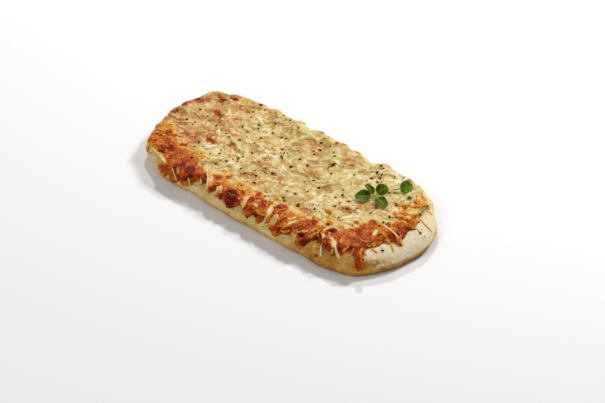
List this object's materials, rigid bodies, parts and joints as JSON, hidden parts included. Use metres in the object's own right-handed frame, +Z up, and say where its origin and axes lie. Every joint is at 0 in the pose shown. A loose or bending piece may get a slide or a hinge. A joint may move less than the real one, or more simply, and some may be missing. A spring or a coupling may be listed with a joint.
{
  "type": "mini margherita pizza",
  "caption": "Oval hand-shaped mini pizza with tomato sauce, melted grated cheese, dried herb flakes and fresh oregano leaves.",
  "frame": {"origin": "under the middle of the outline, on the plane that the crust rests on", "axes": "+X along the oval to its plain puffed end, +Y across it to the far side of the picture, +Z up"},
  "size_m": [0.249, 0.1179, 0.0226],
  "materials": {
    "crust": "baked dough, cream to golden, floured at the puffed end",
    "sauce": "baked tomato sauce, wet sheen",
    "cheese": "melted cheese, cream in the middle, browned round the near side",
    "leaf": "fresh herb leaf, satin"
  },
  "bodies": {
    "root": {"crust": "crust", "tomato_sauce": "sauce", "cheese": "cheese", "oregano_sprig": "leaf", "oregano_leaf": "leaf"}
  },
  "joints": []
}
